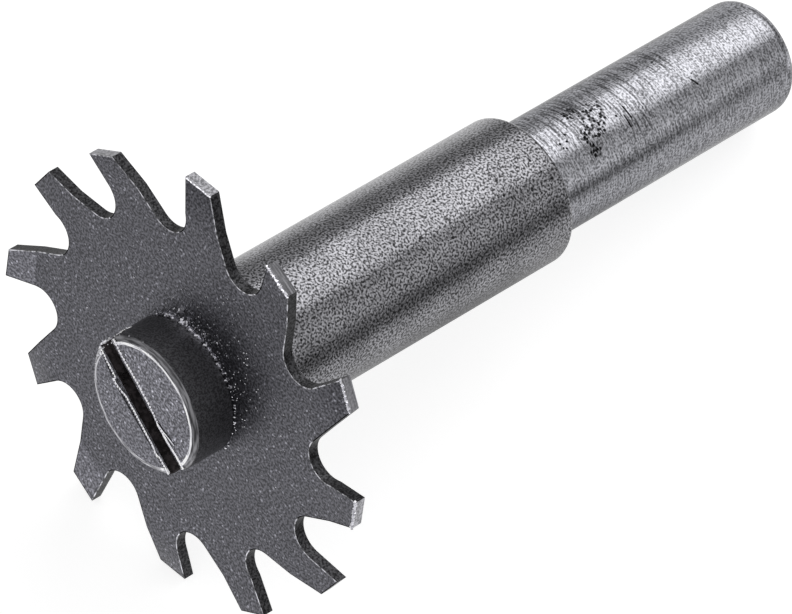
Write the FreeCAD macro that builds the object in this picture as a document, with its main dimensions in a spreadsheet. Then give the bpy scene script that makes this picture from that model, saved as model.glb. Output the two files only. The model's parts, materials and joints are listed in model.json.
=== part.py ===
import FreeCAD, Part
import Sketcher
import math
import os

# Slot cutter for a router: a thin saw disc with alternately set teeth, clamped to the nose of a
# stepped arbor by one slotted cheese-head screw. Nothing holds the tool up, so it lies on two of
# its teeth and on the rounded end of its shank.
#
# Tool frame of every piece: Z runs along the axis towards the screw and is zero on the front face
# of the disc. X passes through the middle of the first tooth. Teeth are counted clockwise as seen
# from the screw, and the disc turns the other way when it cuts.

# Driving sizes in millimetres, angles in degrees
sizes = {
    # Disc
    "tip_diameter": 31.2,
    "root_diameter": 22.5,
    "disc_thickness": 0.75,
    "bore_diameter": 7.0,
    # Teeth: an even number, bent to the front and to the back in turn
    "tooth_pairs": 6,
    "land_width": 2.2,
    "rake_angle": 8,
    "relief_angle": 8,
    "gullet_radius": 1.55,
    # Distance of the bend line from the axis, and how far a tip is bent out of the disc
    "bend_distance": 13.2,
    "tooth_set": 0.33,
    # Arbor
    "body_diameter": 10.2,
    "body_length": 28.7,
    "body_rounding": 0.4,
    "shank_diameter": 8.0,
    "shank_length": 22.2,
    "shank_rounding": 1.1,
    "spigot_length": 0.55,
    "spigot_clearance": 0.015,
    # Centre left in the end of the shank
    "centre_angle": 60,
    "centre_diameter": 3.2,
    "centre_pilot": 1.6,
    "centre_depth": 3.0,
    # Screw
    "head_diameter": 9.3,
    "head_height": 3.2,
    "head_chamfer": 0.3,
    # The slot is cut a little off the middle of the head
    "slot_width": 1.6,
    "slot_depth": 1.6,
    "slot_angle": 17.5,
    "slot_offset": 0.22,
    "thread_diameter": 5.0,
    "thread_clearance": 0.05,
    "thread_chamfer": 0.6,
    "screw_length": 12.0,
    "hole_runout": 2.0,
    "drill_point_angle": 118,
    # The front-set tooth that the tool lies on, counted from the first; the next one back is the other
    "resting_tooth": 9,
}

# Two lengths closer than this are the same, a shorter distance is none, and the resting attitude
# is found by this many halvings
sameLength = 1e-6
noDistance = 1e-9
halvings = 60

doc = FreeCAD.newDocument("SlotCutter")
sheet = doc.addObject("Spreadsheet::Sheet", "Sizes")
for row, (name, value) in enumerate(sizes.items(), start=1):
    sheet.set("A%d" % row, name)
    sheet.set("B%d" % row, str(value))
    sheet.setAlias("B%d" % row, name)
doc.recompute()


# Helpers for sketches whose every corner is driven by the sheet

def valueOf(text):
    result = sheet.evalExpression(text)
    return float(getattr(result, "Value", result))


def originFeature(body, role):
    return next(part for part in body.Origin.OriginFeatures if part.Role == role)


def newBody(label):
    body = doc.addObject("PartDesign::Body", label)
    body.Label = label
    return body


def newSketch(body, name, role):
    sketch = body.newObject("Sketcher::SketchObject", name)
    sketch.AttachmentSupport = [(originFeature(body, role), "")]
    sketch.MapMode = "FlatFace"
    return sketch


def driveDistance(sketch, kind, geometry, point, text):
    value = valueOf(text)
    if abs(value) < noDistance:
        axis = -2 if kind == "DistanceX" else -1
        sketch.addConstraint(Sketcher.Constraint("PointOnObject", geometry, point, axis))
        return
    index = sketch.addConstraint(Sketcher.Constraint(kind, -1, 1, geometry, point, value))
    sketch.setExpression("Constraints[%d]" % index, text)


def drivePoint(sketch, geometry, point, corner):
    driveDistance(sketch, "DistanceX", geometry, point, corner[0])
    driveDistance(sketch, "DistanceY", geometry, point, corner[1])


def addPolygon(sketch, corners):
    points = [FreeCAD.Vector(valueOf(x), valueOf(y), 0) for x, y in corners]
    count = len(points)
    for index in range(count):
        sketch.addGeometry(Part.LineSegment(points[index], points[(index + 1) % count]), False)
    for index in range(count):
        sketch.addConstraint(Sketcher.Constraint("Coincident", index, 2, (index + 1) % count, 1))
    for index, corner in enumerate(corners):
        drivePoint(sketch, index, 1, corner)


def addCircle(sketch, radius):
    sketch.addGeometry(Part.Circle(FreeCAD.Vector(), FreeCAD.Vector(0, 0, 1), valueOf(radius)), False)
    sketch.addConstraint(Sketcher.Constraint("Coincident", 0, 3, -1, 1))
    index = sketch.addConstraint(Sketcher.Constraint("Radius", 0, valueOf(radius)))
    sketch.setExpression("Constraints[%d]" % index, radius)


def revolve(body, name, sketch):
    feature = body.newObject("PartDesign::Revolution", name)
    feature.Profile = sketch
    feature.ReferenceAxis = (sketch, ["V_Axis"])
    feature.Angle = 360
    doc.recompute()
    return feature


def pattern(body, name, feature, count):
    copies = body.newObject("PartDesign::PolarPattern", name)
    copies.Originals = [feature]
    copies.Axis = (originFeature(body, "Z_Axis"), [""])
    copies.Angle = 360
    copies.setExpression("Occurrences", count)
    body.Tip = copies
    doc.recompute()
    return copies


def circularEdge(feature, radius, height):
    for index, edge in enumerate(feature.Shape.Edges, start=1):
        curve = edge.Curve
        if isinstance(curve, Part.Circle) and abs(curve.Radius - radius) < sameLength:
            if abs(curve.Center.z - height) < sameLength:
                return "Edge%d" % index
    raise RuntimeError("no edge of radius %.3f at height %.3f" % (radius, height))


# Places along the axis, and radii, as expressions in the sheet's names
tipRadius = "Sizes.tip_diameter / 2"
rootRadius = "Sizes.root_diameter / 2"
seatHeight = "-Sizes.disc_thickness"
noseHeight = "Sizes.spigot_length - Sizes.disc_thickness"
stepHeight = "-(Sizes.disc_thickness + Sizes.body_length)"
endHeight = "-(Sizes.disc_thickness + Sizes.body_length + Sizes.shank_length)"
bodyRadius = "Sizes.body_diameter / 2"
shankRadius = "Sizes.shank_diameter / 2"
spigotRadius = "Sizes.bore_diameter / 2 - Sizes.spigot_clearance"
headRadius = "Sizes.head_diameter / 2"
threadRadius = "Sizes.thread_diameter / 2"
pitch = "(180 deg / Sizes.tooth_pairs)"
toothCount = "2 * Sizes.tooth_pairs"


# Arbor: body, shank and locating spigot turned in one piece

arbor = newBody("arbor")
profile = newSketch(arbor, "ArborProfile", "XZ_Plane")
addPolygon(profile, [
    ("0", endHeight),
    (shankRadius, endHeight),
    (shankRadius, stepHeight),
    (bodyRadius, stepHeight),
    (bodyRadius, seatHeight),
    (spigotRadius, seatHeight),
    (spigotRadius, noseHeight),
    ("0", noseHeight),
])
turned = revolve(arbor, "ArborTurned", profile)

bodyEdge = arbor.newObject("PartDesign::Fillet", "BodyRounding")
bodyEdge.Base = (turned, [circularEdge(turned, valueOf(bodyRadius), valueOf(stepHeight))])
bodyEdge.setExpression("Radius", "Sizes.body_rounding")
doc.recompute()

shankEdge = arbor.newObject("PartDesign::Fillet", "ShankRounding")
shankEdge.Base = (bodyEdge, [circularEdge(bodyEdge, valueOf(shankRadius), valueOf(endHeight))])
shankEdge.setExpression("Radius", "Sizes.shank_rounding")
doc.recompute()

# Centre in the end of the shank: a cone, a pilot and its drill point
coneHeight = "(Sizes.centre_diameter - Sizes.centre_pilot) / 2 / tan(Sizes.centre_angle * 1 deg / 2)"
pilotTip = "Sizes.centre_pilot / 2 / tan(Sizes.drill_point_angle * 1 deg / 2)"
centreProfile = newSketch(arbor, "CentreProfile", "XZ_Plane")
addPolygon(centreProfile, [
    ("0", endHeight),
    ("Sizes.centre_diameter / 2", endHeight),
    ("Sizes.centre_pilot / 2", endHeight + " + " + coneHeight),
    ("Sizes.centre_pilot / 2", endHeight + " + Sizes.centre_depth"),
    ("0", endHeight + " + Sizes.centre_depth + " + pilotTip),
])
centre = arbor.newObject("PartDesign::Groove", "Centre")
centre.Profile = centreProfile
centre.ReferenceAxis = (centreProfile, ["V_Axis"])
centre.Angle = 360
doc.recompute()

# Hole for the screw, a little larger than its thread and deeper than its end
holeSketch = newSketch(arbor, "HoleSketch", "XY_Plane")
holeSketch.setExpression(".AttachmentOffset.Base.z", noseHeight)
addCircle(holeSketch, threadRadius)
doc.recompute()
hole = arbor.newObject("PartDesign::Hole", "ScrewHole")
hole.Profile = holeSketch
hole.DepthType = "Dimension"
hole.Threaded = False
hole.DrillPoint = "Angled"
hole.setExpression("DrillPointAngle", "Sizes.drill_point_angle * 1 deg")
hole.setExpression("Diameter", "Sizes.thread_diameter + 2 * Sizes.thread_clearance")
hole.setExpression("Depth", "Sizes.screw_length + Sizes.hole_runout + (" + noseHeight + ")")
doc.recompute()


# Cutter disc: a flat web, a strip for each tooth bent out of the web at a straight line, and the
# outline of one tooth pitch cut through strips and web, repeated round the axis

cutterDisc = newBody("cutter_disc")
webSketch = newSketch(cutterDisc, "WebSketch", "XY_Plane")
addCircle(webSketch, "Sizes.bend_distance")
web = cutterDisc.newObject("PartDesign::Pad", "Web")
web.Profile = webSketch
web.Reversed = True
web.setExpression("Length", "Sizes.disc_thickness")
doc.recompute()


# The strip is as thick as the web on both sides of its bend
# Side is 1 for a tip bent towards the screw and -1 for one bent towards the shank
def addStrip(name, side, turn):
    bendAngle = "atan(Sizes.tooth_set / (%s - Sizes.bend_distance))" % tipRadius
    rearBend = "Sizes.bend_distance + %d * Sizes.disc_thickness * tan(%s / 2)" % (side, bendAngle)
    frontTip = "%d * Sizes.tooth_set" % side
    rearTip = "%s - Sizes.disc_thickness / cos(%s)" % (frontTip, bendAngle)
    sketch = newSketch(cutterDisc, name + "Profile", "XZ_Plane")
    sketch.AttachmentOffset = FreeCAD.Placement(FreeCAD.Vector(), FreeCAD.Rotation(FreeCAD.Vector(0, 1, 0), 0))
    sketch.setExpression(".AttachmentOffset.Rotation.Angle", turn)
    addPolygon(sketch, [
        (rootRadius, "0"),
        (rootRadius, seatHeight),
        (rearBend, seatHeight),
        (tipRadius, rearTip),
        (tipRadius, frontTip),
        ("Sizes.bend_distance", "0"),
    ])
    strip = cutterDisc.newObject("PartDesign::Pad", name)
    strip.Profile = sketch
    strip.Midplane = True
    strip.setExpression("Length", "2 * Sizes.bend_distance * tan(%s / 2) - Sizes.gullet_radius" % pitch)
    doc.recompute()
    return pattern(cutterDisc, name + "Pattern", strip, "Sizes.tooth_pairs")


addStrip("FrontStrip", 1, "0 deg")
addStrip("RearStrip", -1, "-" + pitch)

boreSketch = newSketch(cutterDisc, "BoreSketch", "XY_Plane")
addCircle(boreSketch, "Sizes.bore_diameter / 2")
bore = cutterDisc.newObject("PartDesign::Pocket", "Bore")
bore.Profile = boreSketch
bore.Type = "ThroughAll"
bore.Midplane = True
doc.recompute()

# One pitch of the outline, clockwise from the cutting corner of the first tooth: its straight land,
# its straight back, the round of the gullet, and the raked face of the next tooth
rake = "(Sizes.rake_angle * 1 deg)"
halfLand = "asin(Sizes.land_width / Sizes.tip_diameter)"
nextCorner = "(%s - %s)" % (halfLand, pitch)
landTurn = "(%s - 90 deg - Sizes.relief_angle * 1 deg)" % halfLand
centreDistance = "(%s + Sizes.gullet_radius)" % rootRadius
centreOffset = "(Sizes.gullet_radius - %s * sin(%s))" % (tipRadius, rake)
centreTurn = "(%s + %s + asin(%s / %s))" % (nextCorner, rake, centreOffset, centreDistance)
outsideRadius = "(%s + Sizes.gullet_radius)" % tipRadius


def polar(radius, turn):
    return ("%s * cos(%s)" % (radius, turn), "%s * sin(%s)" % (radius, turn))


def vector(corner):
    return FreeCAD.Vector(valueOf(corner[0]), valueOf(corner[1]), 0)


cuttingCorner = polar(tipRadius, halfLand)
landStep = polar("Sizes.land_width", landTurn)
heel = ("%s + %s" % (cuttingCorner[0], landStep[0]), "%s + %s" % (cuttingCorner[1], landStep[1]))
nextCuttingCorner = polar(tipRadius, nextCorner)
gulletCentre = polar(centreDistance, centreTurn)

# Where the back and the face touch the round of the gullet
gulletRadius = valueOf("Sizes.gullet_radius")
toCentre = vector(gulletCentre) - vector(heel)
tangentLength = math.sqrt(toCentre.Length ** 2 - gulletRadius ** 2)
tangentTurn = math.atan2(toCentre.y, toCentre.x) - math.asin(gulletRadius / toCentre.Length)
tangentStep = FreeCAD.Vector(math.cos(tangentTurn), math.sin(tangentTurn), 0) * tangentLength
backEnd = vector(heel) + tangentStep
faceTurn = math.radians(valueOf(nextCorner + " + " + rake))
faceNormal = FreeCAD.Vector(math.sin(faceTurn), -math.cos(faceTurn), 0)
faceStart = vector(gulletCentre) + faceNormal * gulletRadius
arcStart = math.atan2(*reversed((backEnd - vector(gulletCentre))[:2]))
arcEnd = math.atan2(*reversed((faceStart - vector(gulletCentre))[:2]))
if arcEnd < arcStart:
    arcEnd += 2 * math.pi

gulletSketch = newSketch(cutterDisc, "GulletSketch", "XY_Plane")
outsideCorner = polar(outsideRadius, halfLand)
nextOutsideCorner = polar(outsideRadius, nextCorner)
gulletCircle = Part.Circle(vector(gulletCentre), FreeCAD.Vector(0, 0, 1), gulletRadius)
land, back, arc, face, side, outside, otherSide = range(7)
gulletSketch.addGeometry(Part.LineSegment(vector(cuttingCorner), vector(heel)), False)
gulletSketch.addGeometry(Part.LineSegment(vector(heel), backEnd), False)
gulletSketch.addGeometry(Part.ArcOfCircle(gulletCircle, arcStart, arcEnd), False)
gulletSketch.addGeometry(Part.LineSegment(faceStart, vector(nextCuttingCorner)), False)
gulletSketch.addGeometry(Part.LineSegment(vector(nextCuttingCorner), vector(nextOutsideCorner)), False)
gulletSketch.addGeometry(Part.LineSegment(vector(nextOutsideCorner), vector(outsideCorner)), False)
gulletSketch.addGeometry(Part.LineSegment(vector(outsideCorner), vector(cuttingCorner)), False)
for first, second in ((land, back), (face, side), (side, outside), (outside, otherSide), (otherSide, land)):
    gulletSketch.addConstraint(Sketcher.Constraint("Coincident", first, 2, second, 1))
gulletSketch.addConstraint(Sketcher.Constraint("Tangent", back, 2, arc, 1))
gulletSketch.addConstraint(Sketcher.Constraint("Tangent", arc, 2, face, 1))
drivePoint(gulletSketch, land, 1, cuttingCorner)
drivePoint(gulletSketch, back, 1, heel)
drivePoint(gulletSketch, arc, 3, gulletCentre)
drivePoint(gulletSketch, side, 1, nextCuttingCorner)
drivePoint(gulletSketch, outside, 1, nextOutsideCorner)
drivePoint(gulletSketch, otherSide, 1, outsideCorner)
radiusIndex = gulletSketch.addConstraint(Sketcher.Constraint("Radius", arc, gulletRadius))
gulletSketch.setExpression("Constraints[%d]" % radiusIndex, "Sizes.gullet_radius")
doc.recompute()
gullet = cutterDisc.newObject("PartDesign::Pocket", "Gullet")
gullet.Profile = gulletSketch
gullet.Type = "ThroughAll"
gullet.Midplane = True
doc.recompute()
pattern(cutterDisc, "GulletPattern", gullet, toothCount)


# Clamp screw: cheese head with a broken edge and one slot, and a plain thread

clampScrew = newBody("clamp_screw")
screwProfile = newSketch(clampScrew, "ScrewProfile", "XZ_Plane")
addPolygon(screwProfile, [
    ("0", "Sizes.head_height"),
    (headRadius + " - Sizes.head_chamfer", "Sizes.head_height"),
    (headRadius, "Sizes.head_height - Sizes.head_chamfer"),
    (headRadius, "0"),
    (threadRadius, "0"),
    (threadRadius, "Sizes.thread_chamfer - Sizes.screw_length"),
    (threadRadius + " - Sizes.thread_chamfer", "-Sizes.screw_length"),
    ("0", "-Sizes.screw_length"),
])
revolve(clampScrew, "ScrewTurned", screwProfile)

slotSketch = newSketch(clampScrew, "SlotSketch", "XY_Plane")
slotSketch.setExpression(".AttachmentOffset.Base.z", "Sizes.head_height")
slotSketch.setExpression(".AttachmentOffset.Rotation.Angle", "Sizes.slot_angle * 1 deg")
addPolygon(slotSketch, [
    ("-Sizes.head_diameter", "Sizes.slot_offset - Sizes.slot_width / 2"),
    ("Sizes.head_diameter", "Sizes.slot_offset - Sizes.slot_width / 2"),
    ("Sizes.head_diameter", "Sizes.slot_offset + Sizes.slot_width / 2"),
    ("-Sizes.head_diameter", "Sizes.slot_offset + Sizes.slot_width / 2"),
])
slot = clampScrew.newObject("PartDesign::Pocket", "Slot")
slot.Profile = slotSketch
slot.setExpression("Length", "Sizes.slot_depth")
doc.recompute()


# How the tool lies. Two neighbouring teeth touch the ground with the back edge of a tip: the
# front-set one at its cutting corner and the rear-set one at its heel. The third contact is the
# round of the shank end.

bodies = [arbor, cutterDisc, clampScrew]
cornerRadius = valueOf(tipRadius)
cornerTurn = math.radians(valueOf(halfLand))
heelRadius = vector(heel).Length
heelTurn = -math.atan2(vector(heel).y, vector(heel).x)
toothTurn = math.radians(valueOf(pitch))
span = toothTurn - cornerTurn - heelTurn

bendDistance = valueOf("Sizes.bend_distance")
bendSlope = valueOf("Sizes.tooth_set") / (cornerRadius - bendDistance)
stripDepth = valueOf("Sizes.disc_thickness") * math.sqrt(1 + bendSlope ** 2)
cornerHeight = (cornerRadius * math.cos(cornerTurn) - bendDistance) * bendSlope - stripDepth
heelHeight = -(heelRadius * math.cos(heelTurn) - bendDistance) * bendSlope - stripDepth

rounding = valueOf("Sizes.shank_rounding")
ringRadius = valueOf(shankRadius) - rounding
ringHeight = valueOf(endHeight) + rounding


def slopeOn(radius, turn, height):
    drop = radius * math.cos(turn) - ringRadius
    reach = height - ringHeight
    return math.acos(rounding / math.hypot(drop, reach)) - math.atan2(reach, drop)


low = 0.0
high = span
for _ in range(halvings):
    cornerSwing = (low + high) / 2
    if slopeOn(cornerRadius, cornerSwing, cornerHeight) > slopeOn(heelRadius, span - cornerSwing, heelHeight):
        low = cornerSwing
    else:
        high = cornerSwing
slope = slopeOn(cornerRadius, cornerSwing, cornerHeight)
axisHeight = cornerRadius * math.cos(cornerSwing) * math.cos(slope) - cornerHeight * math.sin(slope)

# Turn about the tool's own axis that brings the two teeth underneath, then the slope of the axis
downTurn = cornerTurn - (valueOf("Sizes.resting_tooth") - 1) * toothTurn + cornerSwing
spin = FreeCAD.Rotation(FreeCAD.Vector(0, 0, 1), -90 - math.degrees(downTurn))
lean = FreeCAD.Rotation(FreeCAD.Vector(1, 0, 0), 90 - math.degrees(slope))
resting = FreeCAD.Placement(FreeCAD.Vector(0, 0, axisHeight), lean.multiply(spin))
for body in bodies:
    body.Placement = resting
doc.recompute()

# The origin is on the ground under the middle of the whole tool
box = Part.makeCompound([body.Shape for body in bodies]).optimalBoundingBox(False, False)
resting.Base = FreeCAD.Vector(-box.Center.x, -box.Center.y, axisHeight)
for body in bodies:
    body.Placement = resting
doc.recompute()


# Check, then write each piece

for item in doc.Objects:
    if "Invalid" in item.State or "Error" in item.State:
        raise RuntimeError("%s failed: %s" % (item.Name, item.State))
os.makedirs("parts", exist_ok=True)
for body in bodies:
    shape = body.Shape
    if shape.isNull() or not shape.isValid() or len(shape.Solids) != 1:
        raise RuntimeError(body.Label + " is not one valid solid")
    shape.exportStep("parts/%s.step" % body.Label)
    print("%-12s volume %9.2f mm3, faces %d" % (body.Label, shape.Volume, len(shape.Faces)))
print("slope %.3f degrees, lowest point %.5f, axis base %s" % (math.degrees(slope), box.ZMin, resting.Base))
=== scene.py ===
import json
import math
import random

import bmesh
import bpy
from mathutils import Matrix, Quaternion, Vector


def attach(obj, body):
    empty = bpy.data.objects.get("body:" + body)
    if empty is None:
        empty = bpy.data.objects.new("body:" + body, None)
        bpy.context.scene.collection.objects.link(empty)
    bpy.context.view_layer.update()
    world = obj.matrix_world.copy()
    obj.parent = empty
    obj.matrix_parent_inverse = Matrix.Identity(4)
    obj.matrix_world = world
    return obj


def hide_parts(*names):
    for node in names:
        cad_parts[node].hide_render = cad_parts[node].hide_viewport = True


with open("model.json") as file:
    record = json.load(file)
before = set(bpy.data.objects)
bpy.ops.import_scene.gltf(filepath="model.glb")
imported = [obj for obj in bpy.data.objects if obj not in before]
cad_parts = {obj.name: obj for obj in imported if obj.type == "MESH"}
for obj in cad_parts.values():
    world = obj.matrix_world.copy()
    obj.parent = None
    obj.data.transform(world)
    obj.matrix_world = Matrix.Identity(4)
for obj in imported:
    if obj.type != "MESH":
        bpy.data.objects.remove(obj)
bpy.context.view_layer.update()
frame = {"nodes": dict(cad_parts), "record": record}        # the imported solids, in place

mm = 0.001
fullTurn = 2 * math.pi
print("Frame loaded:", ", ".join(sorted(frame["nodes"])))


# Tool frame, in millimetres: Z runs along the axis towards the screw and is zero on the disc's
# front face, X passes through the middle of the first tooth.
placing = {
    "seatToShankMiddle": 40.0,   # from the disc's front face to the middle of the plain shank
    "toothTurn": 134.937,        # how far the first tooth is turned about the axis, in degrees
}

shankMount = next(mount for mount in frame["record"]["mounts"] if mount["name"] == "shank")
toShankEnd = Vector(shankMount["axis"]).normalized()
toolOrigin = Vector(shankMount["pos_m"]) - toShankEnd * placing["seatToShankMiddle"] * mm
leanBack = Matrix.Rotation(math.atan2(toShankEnd.y, -toShankEnd.z), 4, "X")
toolTurn = leanBack @ Matrix.Rotation(math.radians(placing["toothTurn"]), 4, "Z")
toolToWorld = Matrix.Translation(toolOrigin) @ toolTurn @ Matrix.Scale(mm, 4)


# Shader helpers

patchSpan = (0.35, 0.65)     # where patchy grain starts and ends
fineDents = 0.01             # relief of the plainer faces, in millimetres
rippleContrast = 0.75


def addNode(tree, kind, inputs=None, **settings):
    node = tree.nodes.new(kind)
    for name, value in settings.items():
        setattr(node, name, value)
    for name, value in (inputs or {}).items():
        if isinstance(value, bpy.types.NodeSocket):
            tree.links.new(value, node.inputs[name])
        else:
            node.inputs[name].default_value = value
    return node


def toolPlace(tree, stretch=None):
    coordinates = addNode(tree, "ShaderNodeTexCoord")
    place = addNode(tree, "ShaderNodeMapping", {
        "Vector": coordinates.outputs["Object"], "Location": toolOrigin,
        "Rotation": toolTurn.to_euler(), "Scale": (mm, mm, mm),
    }, vector_type="TEXTURE").outputs["Vector"]
    if stretch:
        place = addNode(tree, "ShaderNodeMapping", {"Vector": place, "Scale": stretch}).outputs["Vector"]
    return place


def grain(tree, place, size, detail=2.0):
    inputs = {"Vector": place, "Scale": 1 / size, "Detail": detail}
    return addNode(tree, "ShaderNodeTexNoise", inputs).outputs["Fac"]


def calc(tree, operation, first, second=0.0):
    return addNode(tree, "ShaderNodeMath", {0: first, 1: second}, operation=operation).outputs[0]


def fade(tree, value, low, high, start=0.0, end=1.0):
    inputs = {"Value": value, "From Min": low, "From Max": high, "To Min": start, "To Max": end}
    return addNode(tree, "ShaderNodeMapRange", inputs, interpolation_type="SMOOTHSTEP").outputs["Result"]


def vectorCalc(tree, operation, inputs, output="Vector"):
    return addNode(tree, "ShaderNodeVectorMath", inputs, operation=operation).outputs[output]


def alongDirection(tree, place, direction):
    return vectorCalc(tree, "DOT_PRODUCT", {0: place, 1: direction}, "Value")


def nearSpot(tree, place, spot, inner, outer):
    away = vectorCalc(tree, "DISTANCE", {0: place, 1: spot}, "Value")
    return fade(tree, away, outer, inner)     # 1 near the spot, 0 beyond outer


def nearLine(tree, place, start, end, inner, outer):
    span = end - start
    fromStart = vectorCalc(tree, "SUBTRACT", {0: place, 1: start})
    reach = alongDirection(tree, fromStart, span / span.length_squared)
    reach = addNode(tree, "ShaderNodeClamp", {"Value": reach}).outputs["Result"]
    foot = vectorCalc(tree, "SCALE", {0: span, "Scale": reach})
    return nearSpot(tree, fromStart, foot, inner, outer)


def aroundAxis(tree, place):
    flat = vectorCalc(tree, "MULTIPLY", {0: place, 1: (1, 1, 0)})
    radius = vectorCalc(tree, "LENGTH", {0: flat}, "Value")
    parts = addNode(tree, "ShaderNodeSeparateXYZ", {"Vector": place})
    turn = calc(tree, "ARCTAN2", parts.outputs["Y"], parts.outputs["X"])
    return radius, turn, parts.outputs["Z"]


def unroll(tree, place, atRadius):         # a round surface laid flat: the way round it, and along it
    radius, turn, height = aroundAxis(tree, place)
    return addNode(tree, "ShaderNodeCombineXYZ", {
        "X": calc(tree, "MULTIPLY", turn, atRadius), "Y": calc(tree, "SUBTRACT", height, radius),
    }).outputs["Vector"]


def rampRound(tree, turn, stops):          # levels against the angle round the axis, 180 to 540 degrees
    share = calc(tree, "ADD", calc(tree, "DIVIDE", turn, fullTurn), 0.5)
    ramp = addNode(tree, "ShaderNodeValToRGB", {"Fac": share})
    elements = ramp.color_ramp.elements
    while len(elements) < len(stops):
        elements.new(0.5)
    for element, (degrees, level) in zip(elements, stops):
        element.position = degrees / 360 - 0.5
        element.color = (level, level, level, 1)
    return ramp.outputs["Color"]


def ripples(tree, flatPlace, period):      # blasted or etched grain: two waves of unlike length, 0.5 on average
    total = 0.5 - rippleContrast
    for stretch in (0.85, 1.2):
        inputs = {"Vector": flatPlace, "Scale": 1 / (period * stretch), "Frequency": 1.0, "Anisotropy": 0.0}
        waves = addNode(tree, "ShaderNodeTexGabor", inputs, gabor_type="2D").outputs["Value"]
        total = calc(tree, "ADD", calc(tree, "MULTIPLY", waves, rippleContrast), total)
    return total


def spots(tree, place, spacing, size, edge):
    cells = addNode(tree, "ShaderNodeTexVoronoi", {"Vector": place, "Scale": 1 / spacing, "Randomness": 1.0})
    away = cells.outputs["Distance"]          # 0 at the middle of each dot
    return fade(tree, away, (size + edge) / spacing, (size - edge) / spacing)


def newSteel(name, roughness, grazing=1.0):
    material = bpy.data.materials.new(name)
    material.use_nodes = True
    tree = material.node_tree
    shader = tree.nodes["Principled BSDF"]
    shader.inputs["Metallic"].default_value = 1.0
    shader.inputs["Roughness"].default_value = roughness
    shader.inputs["Specular Tint"].default_value = (grazing, grazing, grazing, 1)
    return material, tree, shader


def setGrey(tree, shader, grey, tone, tint=(0.99, 0.985, 1.045)):
    colour = vectorCalc(tree, "SCALE", {0: [grey * part for part in tint], "Scale": tone})
    tree.links.new(colour, shader.inputs["Base Color"])


def setBump(tree, shader, height, depth):
    bump = addNode(tree, "ShaderNodeBump", {"Height": height, "Distance": depth * mm, "Strength": 1.0})
    tree.links.new(bump.outputs["Normal"], shader.inputs["Normal"])


# Mesh helpers

facing = 0.9                 # a face looks along a direction where their cosine is above this
sameHeight = 1e-4            # heights this close count as one, in millimetres
onLine = 1e-3                # and a point this close to a line is on it


def only(items, kind):
    return [item for item in items if isinstance(item, kind)]


def turnOutline(bm, outline, roundings, steps):
    points = [bm.verts.new((radius, 0, height)) for radius, height in outline]
    for first, second in zip(points, points[1:]):
        bm.edges.new((first, second))
    for radius, height, size in roundings:
        corner = min(bm.verts, key=lambda vert: (vert.co - Vector((radius, 0, height))).length)
        bmesh.ops.bevel(bm, geom=[corner], offset=size, offset_type="OFFSET", segments=6, profile=0.5,
                        affect="VERTICES", clamp_overlap=False, material=-1)
    bmesh.ops.spin(bm, geom=bm.verts[:] + bm.edges[:], cent=(0, 0, 0), axis=(0, 0, 1), dvec=(0, 0, 0),
                   angle=fullTurn, steps=steps, use_merge=True)
    bmesh.ops.remove_doubles(bm, verts=bm.verts, dist=1e-4)


def finishPiece(bm, name, materials, nodeName, softAngle, flatFinishes=()):
    bmesh.ops.recalc_face_normals(bm, faces=bm.faces)
    loose = [edge for edge in bm.edges if not edge.is_manifold]
    print(name, "faces", len(bm.faces), "open edges", len(loose))
    bm.transform(toolToWorld)
    mesh = bpy.data.meshes.new(name)
    bm.to_mesh(mesh)
    bm.free()
    for material in materials:
        mesh.materials.append(material)
    for polygon in mesh.polygons:
        polygon.use_smooth = polygon.material_index not in flatFinishes
    mesh.set_sharp_from_angle(angle=math.radians(softAngle))
    piece = bpy.data.objects.new(name, mesh)
    bpy.context.scene.collection.objects.link(piece)
    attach(piece, "root")
    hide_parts(nodeName)


# Arbor: turned body and shank

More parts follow.
